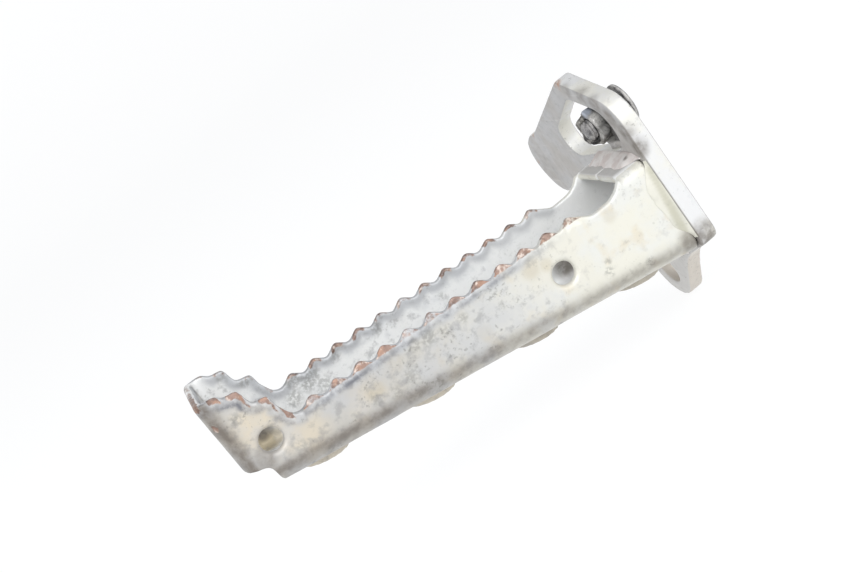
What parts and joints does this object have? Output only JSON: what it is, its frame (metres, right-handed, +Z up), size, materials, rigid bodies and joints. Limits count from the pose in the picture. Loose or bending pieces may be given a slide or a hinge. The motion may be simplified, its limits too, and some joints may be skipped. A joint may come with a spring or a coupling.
{
  "type": "foot peg",
  "caption": "Rigid motorcycle foot peg: serrated sheet-steel channel with an upturned tip, welded to a thick mounting plate with a window, an ear and a drilled lug.",
  "frame": {"origin": "on the mounting plate's rear face, on the centre plane of the channel", "axes": "+X from the peg's tip towards the vehicle's frame, square to the plate; +Y along the plate towards its ear; +Z up, the side the foot rests on"},
  "size_m": [0.1449, 0.0952, 0.0796],
  "materials": {
    "zinc_steel": "worn zinc plating, matt, with dark pits and rust at the tooth tips",
    "weld_steel": "weld bead under the plating, dull",
    "dark_steel": "black, greasy and dirty"
  },
  "bodies": {
    "peg": {"peg_channel": "zinc_steel", "mount_plate": "zinc_steel", "weld_near_side": "weld_steel", "weld_far_side": "weld_steel", "weld_under_web": "weld_steel", "weld_top": "weld_steel", "bolt_keeper": "zinc_steel", "keeper_tacks": "weld_steel"},
    "bolt": {"captive_bolt": "dark_steel"},
    "nut": {"lock_nut": "dark_steel"}
  },
  "joints": [
    {"name": "bolt_slide", "type": "slide", "parent": "peg", "child": "bolt", "axis": [-1, 0, 0], "range_m": [0, 0.00425]},
    {"name": "nut_turn", "type": "hinge", "parent": "bolt", "child": "nut", "pos_m": [-0.004, 0.0012, 0.0253], "axis": [1, 0, 0], "continuous": true}
  ]
}
